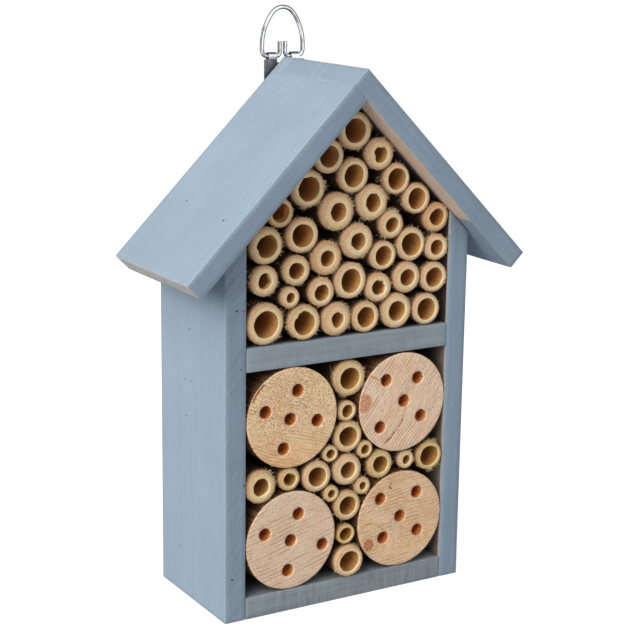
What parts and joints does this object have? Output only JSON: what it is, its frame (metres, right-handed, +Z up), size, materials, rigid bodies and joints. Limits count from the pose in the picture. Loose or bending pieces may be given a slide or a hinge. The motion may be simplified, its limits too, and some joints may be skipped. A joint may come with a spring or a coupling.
{
  "type": "insect hotel",
  "caption": "Gabled wooden insect hotel, its open front packed with cut reeds above and below a shelf, drilled logs in the lower room, and a hinged wire hanging ring behind the ridge.",
  "frame": {"origin": "middle of the underside of the body, where it stands", "axes": "+Z up; the open front faces -Y and the hanger is behind at +Y; +X is to the right seen from the front"},
  "size_m": [0.1928, 0.0872, 0.2975],
  "materials": {
    "painted_wood": "matt blue-grey paint, thin enough to show the grain",
    "log_wood": "bare sawn end grain",
    "reed": "cut bamboo, bare",
    "plate_steel": "dull zinc-plated sheet",
    "ring_wire": "bright nickel-plated wire",
    "screw_steel": "zinc-plated"
  },
  "bodies": {
    "house": {"left_wall": "painted_wood", "right_wall": "painted_wood", "floor_board": "painted_wood", "shelf": "painted_wood", "back_panel": "painted_wood", "left_roof_board": "painted_wood", "right_roof_board": "painted_wood", "log_upper_left": "log_wood", "log_upper_right": "log_wood", "log_lower_left": "log_wood", "log_lower_right": "log_wood", "upper_reed_01": "reed", "upper_reed_02": "reed", "upper_reed_03": "reed", "upper_reed_04": "reed", "upper_reed_05": "reed", "upper_reed_06": "reed", "upper_reed_07": "reed", "upper_reed_08": "reed", "upper_reed_09": "reed", "upper_reed_10": "reed", "upper_reed_11": "reed", "upper_reed_12": "reed", "upper_reed_13": "reed", "upper_reed_14": "reed", "upper_reed_15": "reed", "upper_reed_16": "reed", "upper_reed_17": "reed", "upper_reed_18": "reed", "upper_reed_19": "reed", "upper_reed_20": "reed", "upper_reed_21": "reed", "upper_reed_22": "reed", "upper_reed_23": "reed", "upper_reed_24": "reed", "upper_reed_25": "reed", "upper_reed_26": "reed", "upper_reed_27": "reed", "upper_reed_28": "reed", "upper_reed_29": "reed", "upper_reed_30": "reed", "upper_reed_31": "reed", "upper_reed_32": "reed", "upper_reed_33": "reed", "lower_reed_01": "reed", "lower_reeds_03_02_04_05": "reed", "lower_reed_06": "reed", "lower_reed_07": "reed", "lower_reed_08": "reed", "lower_reed_09": "reed", "lower_reed_11": "reed", "lower_reed_12": "reed", "lower_reed_13": "reed", "lower_reeds_15_10_14": "reed", "lower_reed_16": "reed", "lower_reed_17": "reed", "hanger_plate": "plate_steel", "hanger_screw_upper": "screw_steel", "hanger_screw_lower": "screw_steel"},
    "ring": {"hanging_ring": "ring_wire"}
  },
  "joints": [
    {"name": "ring_hinge", "type": "hinge", "parent": "house", "child": "ring", "pos_m": [0.0014, 0.03785, 0.2716], "axis": [1, 0, 0], "range_deg": [-165, 65]}
  ]
}
